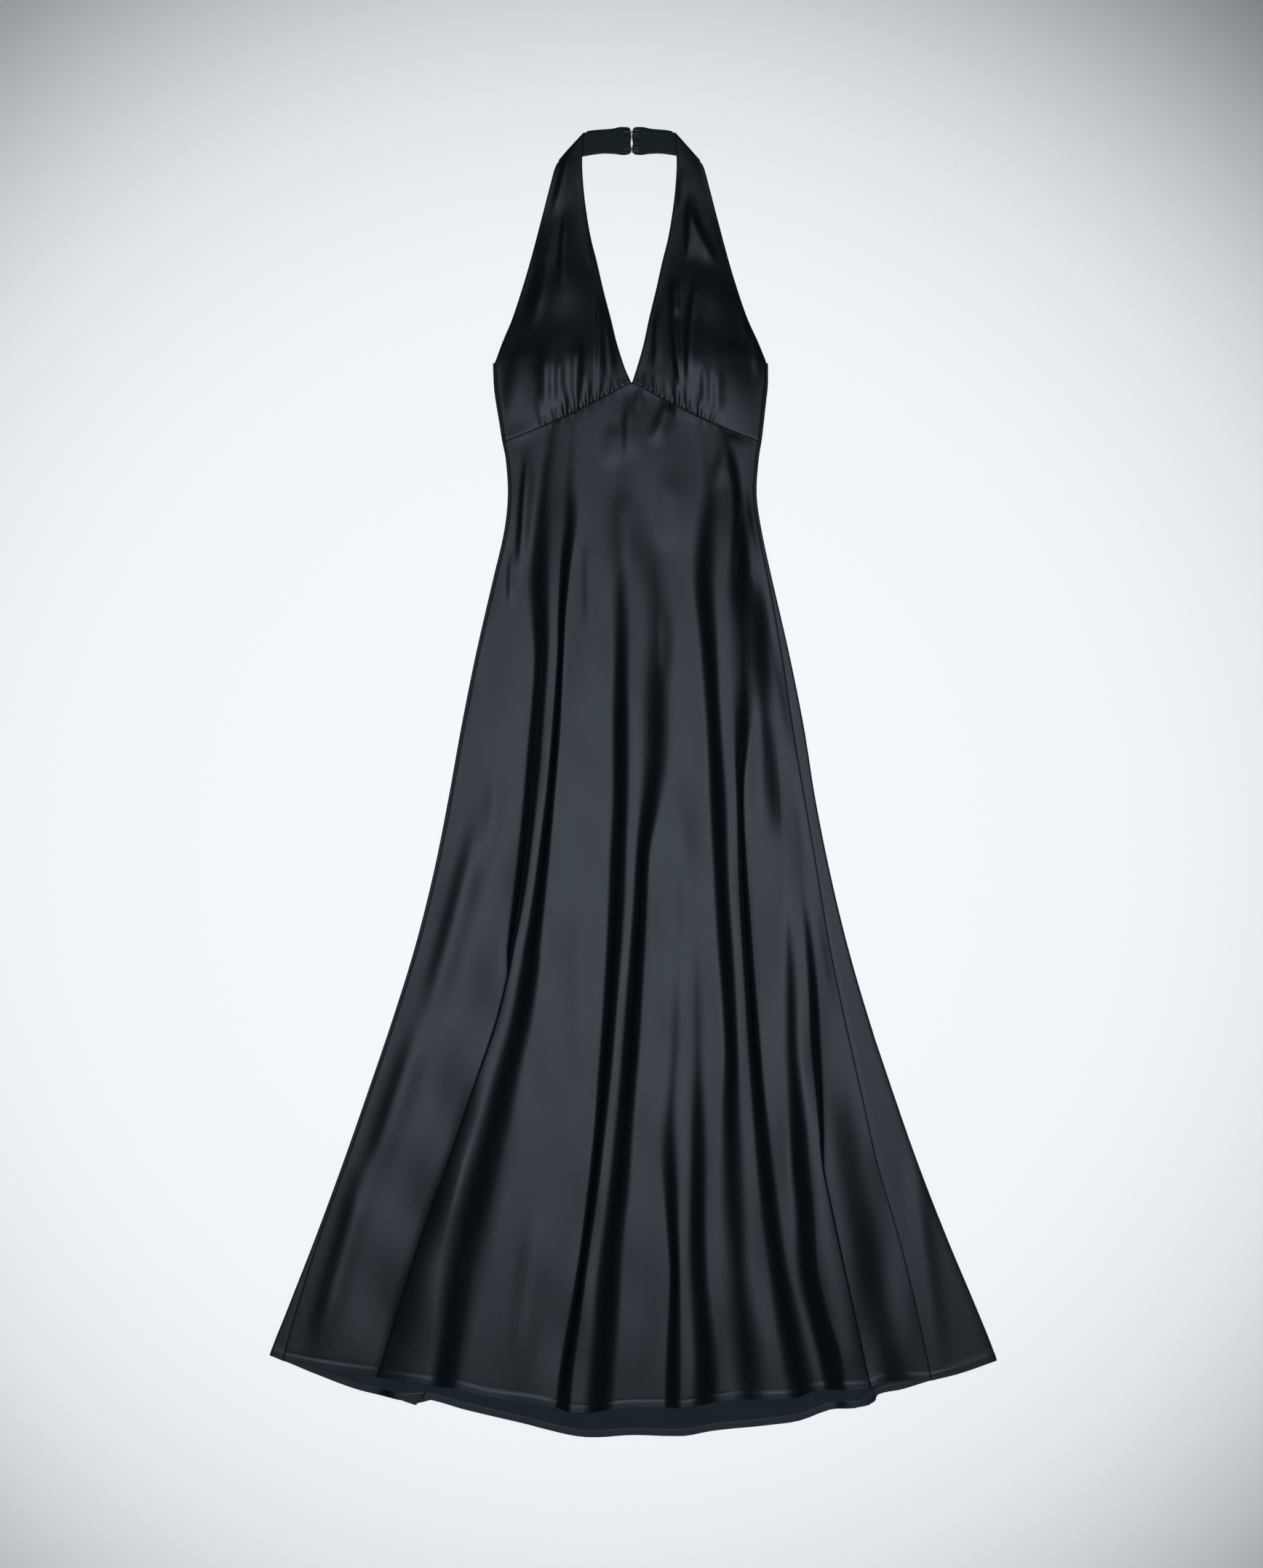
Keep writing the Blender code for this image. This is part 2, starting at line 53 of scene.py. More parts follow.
BACK_DIP = 0.034
BACK_DIP_REACH = 0.135
LIFT_SHARE = 1.1
LIFT_LEAD = 0.012
LIFT_SLOPE = 0.032
LIFT_PAST = 0.005
LIFT_FALL = 0.042

STRAP_TOP_DOWN = 0.040
STRAP_SLANT = 0.033
UNDERARM_DOWN = 0.276
CUP_SEAM_CROWDING = 1.6
DOME_POWER = 1.4
DOME_SKEW = {"left": 1.10, "right": 0.95}

BAND_THICK = 0.0018
BAND_MIDDLE_X = -0.0019
BAND_END = 0.0007


def table(columns, *rows):
    """A table of millimetres, as lists of metres by column name."""
    names = columns.split()
    return {name: [row[k] * MM for row in rows] for k, name in enumerate(names)}


# The laid outline and the side seams, as distances to each side of the middle.
SIDES = table(
    "down left_edge right_edge left_seam right_seam",
    (276, 164.0, 157.4, 161.9, 155.3),
    (302, 163.0, 157.2, 160.0, 154.3),
    (319, 161.0, 155.4, 158.0, 152.3),
    (344, 156.8, 152.6, 153.7, 149.5),
    (366, 153.4, 150.0, 150.3, 146.9),
    (387, 149.2, 146.6, 146.1, 143.5),
    (429, 146.6, 144.1, 143.5, 141.0),
    (472, 150.9, 150.0, 147.8, 146.8),
    (531, 164.5, 162.8, 161.4, 158.5),
    (616, 184.0, 182.3, 180.9, 173.6),
    (701, 201.0, 199.3, 197.9, 186.6),
    (786, 216.3, 212.9, 213.2, 200.8),
    (871, 233.3, 229.9, 230.2, 215.5),
    (956, 254.6, 250.3, 251.5, 229.8),
    (1041, 280.9, 275.0, 277.8, 247.4),
    (1126, 309.8, 303.0, 306.6, 266.5),
    (1211, 339.6, 332.8, 336.0, 285.7),
    (1296, 371.0, 365.9, 367.0, 310.5),
    (1381, 404.2, 401.6, 393.6, 331.8),
    (1434, 424.6, 422.6, 408.5, 343.0),
    (1464, 430.0, 430.0, 413.0, 348.9),
)

# The pointed seam under the bust, by distance from its point.
UNDERBUST = table(
    "out down",
    (0, 297.5), (15, 304.5), (36, 316.5), (57, 327), (80, 338.5), (111, 351.5), (148.5, 366),
)

FRONT_HEM = table(
    "x down",
    (-409, 1440.5), (-352, 1451), (-299, 1458), (-272, 1460.5), (-206, 1473), (-172, 1482),
    (-117, 1490), (-70, 1498.5), (-43, 1498.5), (-5, 1495), (53, 1494), (114, 1486),
    (187, 1482.5), (207, 1477), (238, 1473), (279, 1470.5), (285, 1464.5), (349, 1463.4),
)

BACK_HEM = table(
    "x down",
    (-424.6, 1434), (-399, 1444.5), (-374, 1455), (-323, 1474), (-272, 1486), (-249.5, 1492.5),
    (-245.5, 1485), (-196, 1498), (-128, 1514), (-60, 1529.6), (-1, 1527.5), (59, 1528.5),
    (93, 1522.5), (161, 1515.5), (195, 1510.5), (229, 1498), (263, 1494.5), (280, 1489.5),
    (285, 1480.5), (314, 1474), (348, 1463.6), (382, 1455), (424.6, 1440),
)

# Each fold runs down the skirt. A width is that of the slope beside its crest, and one below
# nothing is how far the cloth is folded back under the crest. The crest's own width is its top.
LEFT_FOLD = table(
    "down crest height left right top",
    (300, -78, 0.2, 16, 16, 3),
    (420, -92, 2.4, 24, 24, 5),
    (465, -92, 4.6, 30, 24, 6),
    (520, -93, 7.0, 32, 15, 6),
    (574, -95, 8.0, 26, 11, 6),
    (620, -97, 8.6, 21, 10, 7),
    (735, -106, 9.6, 20, 13, 7),
    (857, -119, 10.4, 18, 16, 6),
    (952, -136, 10.8, 12, 24, 7),
    (1000, -149, 11.0, 2, 30, 8),
    (1052, -163, 11.0, -5, 36, 9),
    (1130, -190, 10.4, -8, 42, 11),
    (1200, -214, 9.6, -12, 46, 13),
    (1284, -244, 8.6, -18, 44, 22),
    (1340, -262, 8.0, -22, 42, 30),
    (1460, -299, 7.0, -26, 38, 54),
)
CENTRE_FOLD = table(
    "down crest height left right top",
    (297.5, -2, 0.2, 20, 20, 4),
    (470, 2, 0.8, 26, 36, 6),
    (541, 3, 3.2, 28, 40, 8),
    (600, 3, 5.6, 26, 42, 9),
    (650, 2.5, 7.0, 25, 42, 9),
    (720, 2, 8.2, 24, 40, 9),
    (780, 1, 9.0, 24, 30, 8),
    (840, -2, 9.8, 24, 20, 7),
    (910, -5.5, 10.6, 23, 20, 6),
    (994, -11.5, 11.2, 21, 22, 6),
    (1076, -18, 11.6, 20, 24, 6),
    (1204, -31.5, 12.0, 16, 29, 7),
    (1337, -50, 12.0, 14, 37, 7),
    (1450, -62.5, 12.0, 19, 41, 11),
    (1500, -66, 12.0, 20, 41, 12),
)
SMALL_FOLD = table(
    "down crest height left right top",
    (300, 44, 0.03, 4, 4, 2),
    (470, 54, 0.03, 4, 4, 2),
    (541, 56, 0.03, 4, 4, 2),
    (640, 57, 0.03, 6, 6, 2),
    (900, 63, 0.05, 14, 14, 4),
    (1068, 62, 1.6, 20, 20, 6),
    (1176, 60, 4.6, 28, 24, 7),
    (1273, 59, 6.8, 20, 25, 7),
    (1337, 59.5, 8.0, 15, 27, 7),
    (1440, 61.5, 9.0, 21, 34, 9),
    (1500, 61, 9.0, 22, 36, 9),
)
RIGHT_FOLD = table(
    "down crest height left right top",
    (330, 88, 0.2, 24, 18, 4),
    (400, 106, 2.6, 34, 18, 6),
    (440, 111, 5.0, 36, 16, 6),
    (478, 108, 7.0, 37, 22, 7),
    (541, 103, 8.4, 34, 38, 7),
    (605, 105, 8.8, 27, 40, 7),
    (685, 109.5, 9.0, 25, 30, 8),
    (765, 114, 9.2, 24, 12, 9),
    (910, 119.5, 9.8, 23, 14, 7),
    (1076, 129, 9.4, 22, 18, 7),
    (1150, 133, 8.4, 30, 21, 8),
    (1224, 138.5, 7.4, 38, 24, 8),
    (1298, 146, 8.0, 42, 28, 8),
    (1380, 156, 9.0, 50, 34, 9),
    (1490, 172, 10.0, 60, 42, 10),
)
OUTER_FOLD = table(
    "down crest height left right top",
    (340, 134, 0.03, 2.5, 2.5, 1.5),
    (440, 134.5, 0.03, 2.5, 2.5, 1.5),
    (478, 140, 0.03, 2.5, 2.5, 1.5),
    (541, 151.5, 0.03, 2.5, 2.5, 1.5),
    (605, 160, 0.03, 3, 3, 2),
    (675, 170, 0.03, 4, 4, 2),
    (730, 177, 0.03, 6, 6, 3),
    (786, 184, 0.05, 10, 8, 3),
    (900, 192, 0.4, 16, 12, 5),
    (931, 196, 1.4, 18, 13, 6),
    (1000, 202, 3.6, 22, 14, 7),
    (1076, 206, 5.4, 24, 14, 8),
    (1130, 212, 6.6, 26, 10, 9),
    (1200, 219, 7.6, 27, 5, 12),
    (1264, 232, 7.6, 28, -6, 18),
    (1330, 246, 7.4, 28, -12, 28),
    (1380, 257, 7.0, 30, -17, 28),
    (1440, 270, 6.6, 34, -20, 22),
    (1490, 281, 6.5, 34, -22, 22),
)
BACK_LEFT_FOLD = table(
    "down crest height left right top",
    (366, -60, 0.02, 20, 20, 2),
    (900, -110, 0.02, 24, 20, 2),
    (1080, -150, 0.5, 26, 18, 3),
    (1160, -172, 3.0, 28, 10, 3),
    (1230, -190, 5.0, 30, 0, 5),
    (1330, -213, 5.2, 30, -12, 15),
    (1495, -247, 5.2, 30, -25, 28),
)
BACK_RIGHT_FOLD = table(
    "down crest height left right top",
    (366, 80, 0.02, 20, 20, 2),
    (900, 165, 0.02, 24, 20, 2),
    (1100, 205, 0.5, 26, 18, 3),
    (1180, 220, 3.0, 28, 10, 3),
    (1250, 233, 5.0, 30, 0, 5),
    (1340, 251, 5.2, 30, -10, 13),
    (1490, 284, 5.2, 30, -20, 23),
)

# A fold's table, the side on which it may fold under, and the points in each turn of its slopes.
FRONT_FOLDS = (
    (LEFT_FOLD, "left", 7),
    (CENTRE_FOLD, "neither", 6),
    (SMALL_FOLD, "neither", 4),
    (RIGHT_FOLD, "neither", 6),
    (OUTER_FOLD, "right", 6),
)
BACK_FOLDS = (
    (BACK_LEFT_FOLD, "right", 5),
    (BACK_RIGHT_FOLD, "right", 5),
)
# Strips of the plain cloth before each fold and after the last.
FRONT_STRIPS = (22, 14, 5, 4, 5, 10)
BACK_STRIPS = (22, 44, 26)

# The bodice sways a little to the left of the skirt's middle.
SWAY = table("down shift", (0, -4.6), (200, -4.2), (276, -3.0), (300, -2.0), (366, -1.7))

# The edges of a cup, as distances from the bodice's middle.
ARMHOLE = table(
    "down out",
    (40, 81.8), (44.5, 85.2), (49.5, 87.4), (55, 89.0), (72, 93.5), (106, 102.4), (157, 116),
    (191, 126.2), (225, 137.7), (251, 149), (276, 158.6),
)
NECKLINE = table(
    "down out",
    (7, 52), (37, 55.2), (72, 53.6), (106, 49.3), (132, 44.6), (157, 38.3), (191, 30.6),
    (225, 22.1), (251, 16.2), (276, 8.5), (297.5, 0.8),
)
# How high a cup's edges lie and how far its middle domes above them, by the armhole's place.
CUP_RISE = table(
    "down level dome",
    (40, 3.2, 0.4), (61, 3.2, 0.8), (83, 2.5, 1.2), (106, 1.4, 1.5), (132, 0.9, 1.6),
    (157, 0.9, 1.9), (174, 0.95, 2.6), (188, 1.0, 4.0), (200, 1.1, 5.2), (212, 1.3, 5.8),
    (226, 1.6, 5.8), (240, 2.0, 5.8), (254, 2.4, 6.4), (270, 2.9, 7.6), (286, 3.0, 8.6),
    (300, 3.0, 8.7), (314, 3.0, 7.6), (332, 3.0, 5.2), (350, 3.0, 2.8), (366, 3.0, 1.0),
)

# The neck band's edges, by distance from where its two ends meet.
BAND_TOP = table("out down", (1.3, 2.4), (2.4, 1.0), (5, 0), (14, 0), (22, 1.7), (48, 4.3), (52, 7))
BAND_FOOT = table(
    "out down",
    (1.3, 29.8), (2.6, 31.4), (6, 32.3), (12, 32.5), (20, 31.3), (35, 31), (57, 34.3), (84, 40),
)

# Distances from an end of a panel at which its fine rows or columns lie.
SEAM_STEPS = (0, 1.0, 2.0, 3.2, 4.8, 7.0, 10.0)
HEM_STEPS = (0, 0.9, 2.0, 4.0, 6.2, 7.2, 8.0, 8.8, 9.8, 12.5)
EDGE_STEPS = (0, 0.8, 1.6, 2.6, 4.2)
HEM_STITCH_ROW = -7
HEM_DEPTH = 0.0080

FRONT_LENGTH = 1.195
BACK_LENGTH = 1.225
FRONT_ROWS = 176
BACK_ROWS = 140
CUP_COLUMNS = 132
CUP_STRAP_ROWS = 62
CUP_LOWER_ROWS = 52
ROLL_ROWS = 7
BAND_COLUMNS = 84
BAND_ROWS = 22

# Soft creases: where each runs from and to, how far it bows to its right, how wide it is to the left
# and to the right of its crest, and its height. A height below nothing is a trough.
SKIRT_CREASES = table(
    "x_from down_from x_to down_to bow left right height",
    (-122, 366, -134, 532, 0, 4.6, 9, 1.8),
    (-143, 496, -144, 562, 0, 3.0, 6, 0.8),
    (-3, 312, -7, 394, -1, 6, 12, 1.3),
    (-23, 346, -27, 400, 0, 10, 11, 1.2),
    (43, 306, 17, 372, 5, 6, 11, 2.0),
    (8, 299, 6, 332, 0, 4, 6, 0.8),
    (124, 346, 98, 424, -3, 8, 15, 1.6),
    (128, 420, 122, 542, 1, 4.2, 8, 1.5),
    (138, 520, 143, 700, 0, 18, 13, 4.4),
    (142, 640, 162, 850, 0, 20, 9, 3.2),
    (-12, 416, -14, 530, 0, 12, 18, 1.1),
    (40, 396, 40, 500, 0, 13, 18, 1.2),
    (36, 556, 36, 654, 0, 6, 10, 0.7),
    (-54, 470, -52, 600, 0, 5, 10, 0.9),
    (-172, 780, -250, 1070, 3, 11, 18, 2.8),
    (-240, 1020, -320, 1256, 2, 11, 18, 2.8),
    (-304, 1184, -379, 1456, 1, 11, 16, 3.2),
    (-158, 740, -176, 880, 2, 10, 15, 1.1),
    (-52, 860, -66, 1120, -3, 14, 16, 0.9),
    (-112, 1250, -132, 1474, -3, 10, 14, 1.5),
    (56, 760, 62, 980, 2, 12, 14, 0.9),
    (226, 1340, 250, 1470, 2, 6, 10, 1.3),
    (10, 1240, 4, 1480, -3, 10, 14, 1.0),
)
BACK_CREASES = table(
    "x_from down_from x_to down_to bow left right height",
    (-60, 420, -100, 760, 4, 14, 18, 0.35),
    (40, 420, 60, 800, 3, 16, 20, 0.35),
    (-30, 700, -60, 1150, 5, 14, 18, 0.4),
    (110, 760, 140, 1200, 4, 16, 20, 0.4),
    (-150, 700, -230, 1100, 5, 14, 18, 0.4),
    (10, 1000, 0, 1400, 3, 16, 20, 0.4),
    (322, 1180, 360, 1480, 0, 8, 11, 1.7),
    (-120, 1496, -108, 1530, 2, 5, 8, 0.8),
    (-40, 1504, -30, 1540, 1, 8, 10, 0.7),
    (52, 1500, 60, 1540, 1, 6, 9, 0.8),
    (128, 1490, 140, 1530, 1, 7, 9, 0.8),
)
LEFT_CUP_CREASES = table(
    "x_from down_from x_to down_to bow left right height",
    (-74, 20, -96, 106, 2, 4.0, 8, 1.2),
    (-77, 90, -83, 192, -2, 4.0, 9, 1.7),
    (-58, 90, -50, 168, 2, 5, 9, 1.0),
    (-94, 100, -124, 250, 4, 10, 7, 1.5),
    (-103, 252, -102, 340, 0, 8, 7, 1.7),
    (-86, 262, -88, 336, 0, 5, 6, 1.3),
    (-64, 240, -68, 326, 0, 7, 6, 1.9),
    (-42, 186, -40, 314, 1, 3.6, 8, 1.5),
    (-32, 202, -26, 304, 1, 3.4, 7, 1.0),
    (-130, 246, -146, 354, -2, 10, 12, 0.9),
)
RIGHT_CUP_CREASES = table(
    "x_from down_from x_to down_to bow left right height",
    (54, 46, 54, 104, 0, 5, 9, 0.8),
    (67, 74, 64, 162, 0, 4.0, 9, 1.5),
    (60, 84, 99, 164, -3, 9, 5.5, 1.9),
    (48, 176, 50, 226, 0, 6, 5, 1.8),
    (46, 204, 58, 316, -2, 3.6, 5, 1.8),
    (77, 164, 64, 322, -4, 5.0, 11, 2.3),
    (97, 276, 98, 342, 0, 5, 7, 1.1),
    (83, 272, 84, 338, 0, 5, 6, 1.2),
    (29, 200, 25, 290, 0, 3.4, 7, 1.0),
    (128, 206, 132, 254, 0, 5, 8, 0.7),
    (142, 236, 146, 300, 0, 6, 10, 0.8),
)
# Gathers rise from the seam under the bust: distance from its point, length, lean away from the
# middle, width and height.
LEFT_GATHERS = table(
    "out length lean width height",
    (9, 9, 1, 1.49, 0.42), (16, 14, 0, 1.61, 0.63), (22, 8, -1, 1.38, 0.56), (27, 24, -2, 1.95, 0.84),
    (34, 10, -1, 1.38, 0.63), (39, 34, -2, 2.3, 1.05), (46, 10, 0, 1.49, 0.7), (51, 44, 1, 2.64, 1.33),
    (58, 11, 1, 1.49, 0.7), (64, 38, 2, 2.53, 1.26), (71, 12, 1, 1.49, 0.7), (77, 50, 4, 3.22, 1.54),
    (84, 12, 2, 1.61, 0.7), (89, 30, 5, 2.3, 0.98), (95, 9, 2, 1.49, 0.49), (103, 46, 10, 3.68, 0.77),
)
RIGHT_GATHERS = table(
    "out length lean width height",
    (8, 9, 0, 1.49, 0.42), (15, 20, -1, 1.84, 0.7), (21, 9, 0, 1.38, 0.56), (27, 30, 0, 2.18, 0.98),
    (34, 11, 0, 1.49, 0.7), (40, 24, -1, 1.95, 0.84), (46, 11, -1, 1.49, 0.7), (53, 50, -1, 2.99, 1.4),
    (60, 12, 0, 1.61, 0.7), (66, 38, -2, 2.53, 1.19), (72, 11, 1, 1.49, 0.7), (79, 32, 2, 2.42, 1.05),
    (86, 10, 2, 1.49, 0.56), (93, 24, 5, 2.18, 0.77), (100, 8, 2, 1.49, 0.42),
)
# Short puckers run down from the same seam into the skirt.
SEAM_PUCKERS = table(
    "x length width height",
    (-98, 9, 1.8, 0.5), (-84, 12, 2.0, 0.7), (-70, 10, 1.8, 0.7), (-57, 14, 2.2, 0.8),
    (-43, 10, 1.8, 0.8), (-30, 13, 2.0, 0.7), (-17, 9, 1.8, 0.6), (14, 10, 1.8, 0.6),
    (27, 14, 2.0, 0.7), (41, 10, 1.8, 0.8), (54, 15, 2.2, 0.8), (68, 11, 1.8, 0.7),
    (82, 12, 2.0, 0.6), (97, 8, 1.8, 0.4),
)
# Slow waves that no laid cloth is without: their length along and across, start and height.
SLOW_WAVES = table(
    "across along start height",
    (118, 410, 20, 0.34), (73, 260, 150, 0.22), (-96, 190, 90, 0.24), (170, -150, 40, 0.26),
)


def read(rows, column, place):
    """A smooth curve through one column of a table, at a place in the table's first column."""
    places, values = next(iter(rows.values())), rows[column]
    place = min(max(place, places[0]), places[-1])
    last = len(places) - 1
    k = max(i for i in range(last) if places[i] <= place)

    def slope(i):
        before, after = max(i - 1, 0), min(i + 1, last)
        return (values[after] - values[before]) / (places[after] - places[before])

    span = places[k + 1] - places[k]
    t = (place - places[k]) / span
    bend_start = (2 * t**3 - 3 * t**2 + 1) * values[k] + (t**3 - 2 * t**2 + t) * span * slope(k)
    bend_end = (3 * t**2 - 2 * t**3) * values[k + 1] + (t**3 - t**2) * span * slope(k + 1)
    return bend_start + bend_end


def between(a, b, share):
    return a + (b - a) * share


def eased(share):
    share = np.clip(share, 0, 1)
    return share * share * (3 - 2 * share)


def bump(distance, width):
    """A soft round rise, one high in its middle."""
    return np.exp(-((distance / width) ** 2))


def underbust_down(x):
    return read(UNDERBUST, "down", abs(x - POINT_X))


def back_top_down(x):
    across = min(abs(x) / BACK_DIP_REACH, 1)
    return UNDERBUST["down"][-1] + BACK_DIP * (1 - across**2)


def settled(path, down_at):
    """Where a line that runs down the skirt, as x by down, meets one level of the cloth."""
    x = path(UNDERBUST["down"][-1])
    for _ in range(6):
        x = path(down_at(x))
    return x


def slope_points(width, height, count):
    """A fold's slope from its foot at (0, 0) up to its crest: two equal arcs, one up, one level."""
    turn = 2 * math.atan2(height, width) if width > 0 else math.pi
    radius = height / (2 * (1 - math.cos(turn)))
    straight = max(-width, 0)
    shares = [k / count for k in range(count)] + [0.97]
    arc = [(radius * math.sin(turn * s), radius * (1 - math.cos(turn * s))) for s in shares]
    across = 2 * radius * math.sin(turn) + straight * math.cos(turn)
    low = (arc[-1][0], arc[-1][1])
    high = (across - low[0], height - low[1])
    middle = [(between(low[0], high[0], s), between(low[1], high[1], s)) for s in (0.33, 0.67)]
    return arc + middle + [(across - x, height - z) for x, z in reversed(arc)]


def overhang(width, height):
    """How far a slope's turn bulges past its ends once it leans over."""
    turn = 2 * math.atan2(height, width) if width > 0 else math.pi
    return height / (2 * (1 - math.cos(turn))) * max(-math.cos(turn), 0)


def fold_points(fold, down_at):
    """One fold's points in (x, height) from its left foot to its right foot."""
    rows, steep, count = fold
    crest = settled(lambda down: read(rows, "crest", down), down_at)
    sizes = [read(rows, name, down_at(crest)) for name in ("height", "left", "right", "top")]
    height, left, right, top = sizes
    start, end = crest - top / 2, crest + top / 2
    if steep == "left":
        start = crest + overhang(left, height)
        end = start + top
    if steep == "right":
        end = crest - overhang(right, height)
        start = end - top
    rise = slope_points(left, height, count)
    fall = slope_points(right, height, count)
    up = [(start - rise[-1][0] + x, z) for x, z in rise]
    down = [(end + fall[-1][0] - x, z) for x, z in reversed(fall)]
    return up + down


def strip_points(x_from, x_to, count):
    """Points of plain cloth between two places, without the places themselves."""
    return [(between(x_from, x_to, k / count), 0) for k in range(1, count)]


def folded_line(x_left, x_right, folds, strips, down_at):
    """Points in (x, height) across folded cloth, with both ends and close points beside them."""
    close = [step * MM for step in EDGE_STEPS]
    line = [(x_left + step, 0) for step in close]
    for fold, count in zip(folds, strips):
        points = fold_points(fold, down_at)
        line += strip_points(line[-1][0], points[0][0], count) + points
    last = [(x_right - step, 0) for step in reversed(close)]
    return line + strip_points(line[-1][0], last[0][0], strips[-1]) + last


def lift_over_back(x, down):
    """How far the front is lifted by the folded layers of the back under it."""
    lift = 0
    for rows, *_ in BACK_FOLDS:
        crest, height, left, right = (
            read(rows, name, down) for name in ("crest", "height", "left", "right")
        )
        foot = crest - left + min(right, 0)
        rise = eased((x - foot + LIFT_LEAD) / LIFT_SLOPE)
        fall = eased((crest + LIFT_PAST + LIFT_FALL - x) / LIFT_FALL)
        lift += LIFT_SHARE * height * rise * fall
    return lift


def row_shares(length, count, start_steps, end_steps):
    """Shares of a panel's length: close rows at both ends and even ones between."""
    first = [step * MM / length for step in start_steps]
    last = [1 - step * MM / length for step in reversed(end_steps)]
    middle = [between(first[-1], last[0], k / count) for k in range(1, count)]
    return first + middle + last


def crease_heights(x, down, creases):
    """The height that a table of creases adds at each point."""
    total = np.zeros_like(x)
    for ax, ad, bx, bd, bow, left, right, height in zip(*creases.values()):
        length = math.hypot(bx - ax, bd - ad)
        ux, ud = (bx - ax) / length, (bd - ad) / length
        t = ((x - ax) * ux + (down - ad) * ud) / length
        side = (x - ax) * ud - (down - ad) * ux - bow * 4 * t * (1 - t)
        fade = eased(t / 0.35) * eased((1 - t) / 0.35)
        total += height * bump(side, np.where(side < 0, left, right)) * fade
    return total


def gather_heights(x, down, sign, gathers):
    """The height of the gathers above the seam under the bust."""
    total = np.zeros_like(x)
    for out, length, lean, width, height in zip(*gathers.values()):
        start = POINT_X + sign * out
        t = (underbust_down(start) - down) / length
        side = x - start - sign * lean * t
        spread = width * (1 + 0.9 * np.clip(t, 0, 1))
        total += height * bump(side, spread) * eased(1 - t) * (t > -0.6)
    return total


def pucker_heights(x, down):
    """The height of the short puckers below the same seam."""
    total = np.zeros_like(x)
    for start, length, width, height in zip(*SEAM_PUCKERS.values()):
        t = (down - underbust_down(start)) / length
        total += height * bump(x - start, width) * eased(1 - t) * (t > -0.6)
    return total


def slow_waves(x, down):
    total = np.zeros_like(x)
    for across, along, start, height in zip(*SLOW_WAVES.values()):
        total += height * np.sin(2 * math.pi * (x / across + (down + start) / along))
    return total


def grid_normals(grid):
    along = np.gradient(grid, axis=0)
    across = np.gradient(grid, axis=1)
    normals = np.cross(across, along)
    return normals / np.maximum(np.linalg.norm(normals, axis=2, keepdims=True), 1e-12)


def panel(name, grid, thickness, materials, pick):
    """A closed thin panel of cloth whose middle runs through a grid of (x, down, z) points.

    Its first side lies along the grid's normals. pick gives each side's faces their materials.
    """
    rows, columns = grid.shape[:2]
    placed = np.stack([grid[..., 0], LENGTH / 2 - grid[..., 1], grid[..., 2]], axis=-1)
    shift = grid_normals(placed) * (np.broadcast_to(thickness, (rows, columns)) / 2)[..., None]
    points = np.concatenate([(placed + shift).reshape(-1, 3), (placed - shift).reshape(-1, 3)])
    index = np.arange(rows * columns).reshape(rows, columns)
    a, b, c, d = index[:-1, :-1], index[:-1, 1:], index[1:, 1:], index[1:, :-1]
    under = rows * columns
    first = np.stack([a, b, c, d], axis=-1).reshape(-1, 4)
    second = under + np.stack([d, c, b, a], axis=-1).reshape(-1, 4)
    rim = np.concatenate([index[0, :-1], index[:-1, -1], index[-1, :0:-1], index[:0:-1, 0]])
    after = np.roll(rim, -1)
    border = np.stack([after, rim, under + rim, under + after], axis=-1)
    faces = np.concatenate([first, second, border])
    mesh = bpy.data.meshes.new(name)
    mesh.from_pydata(points.tolist(), [], faces.tolist())
    for material in materials:
        mesh.materials.append(material)
    picked = np.concatenate([pick("first", rows, columns), pick("second", rows, columns)])
    mesh.polygons.foreach_set("material_index", np.append(picked, np.zeros(len(border), dtype=int)))
    mesh.update()
    mesh.shade_smooth()
    mesh.set_sharp_from_angle(angle=math.radians(60))
    piece = bpy.data.objects.new(name, mesh)
    bpy.context.scene.collection.objects.link(piece)
    return piece


def all_of(slot):
    """Both sides of a panel in one material."""
    return lambda side, rows, columns: np.full((rows - 1) * (columns - 1), slot)


def add_node(tree, kind, **settings):
    node = tree.nodes.new(kind)
    for name, value in settings.items():
        if hasattr(node, name):
            setattr(node, name, value)
        else:
            node.inputs[name.replace("_", " ")].default_value = value
    return node


def link(tree, source, target):
    tree.links.new(source, target)


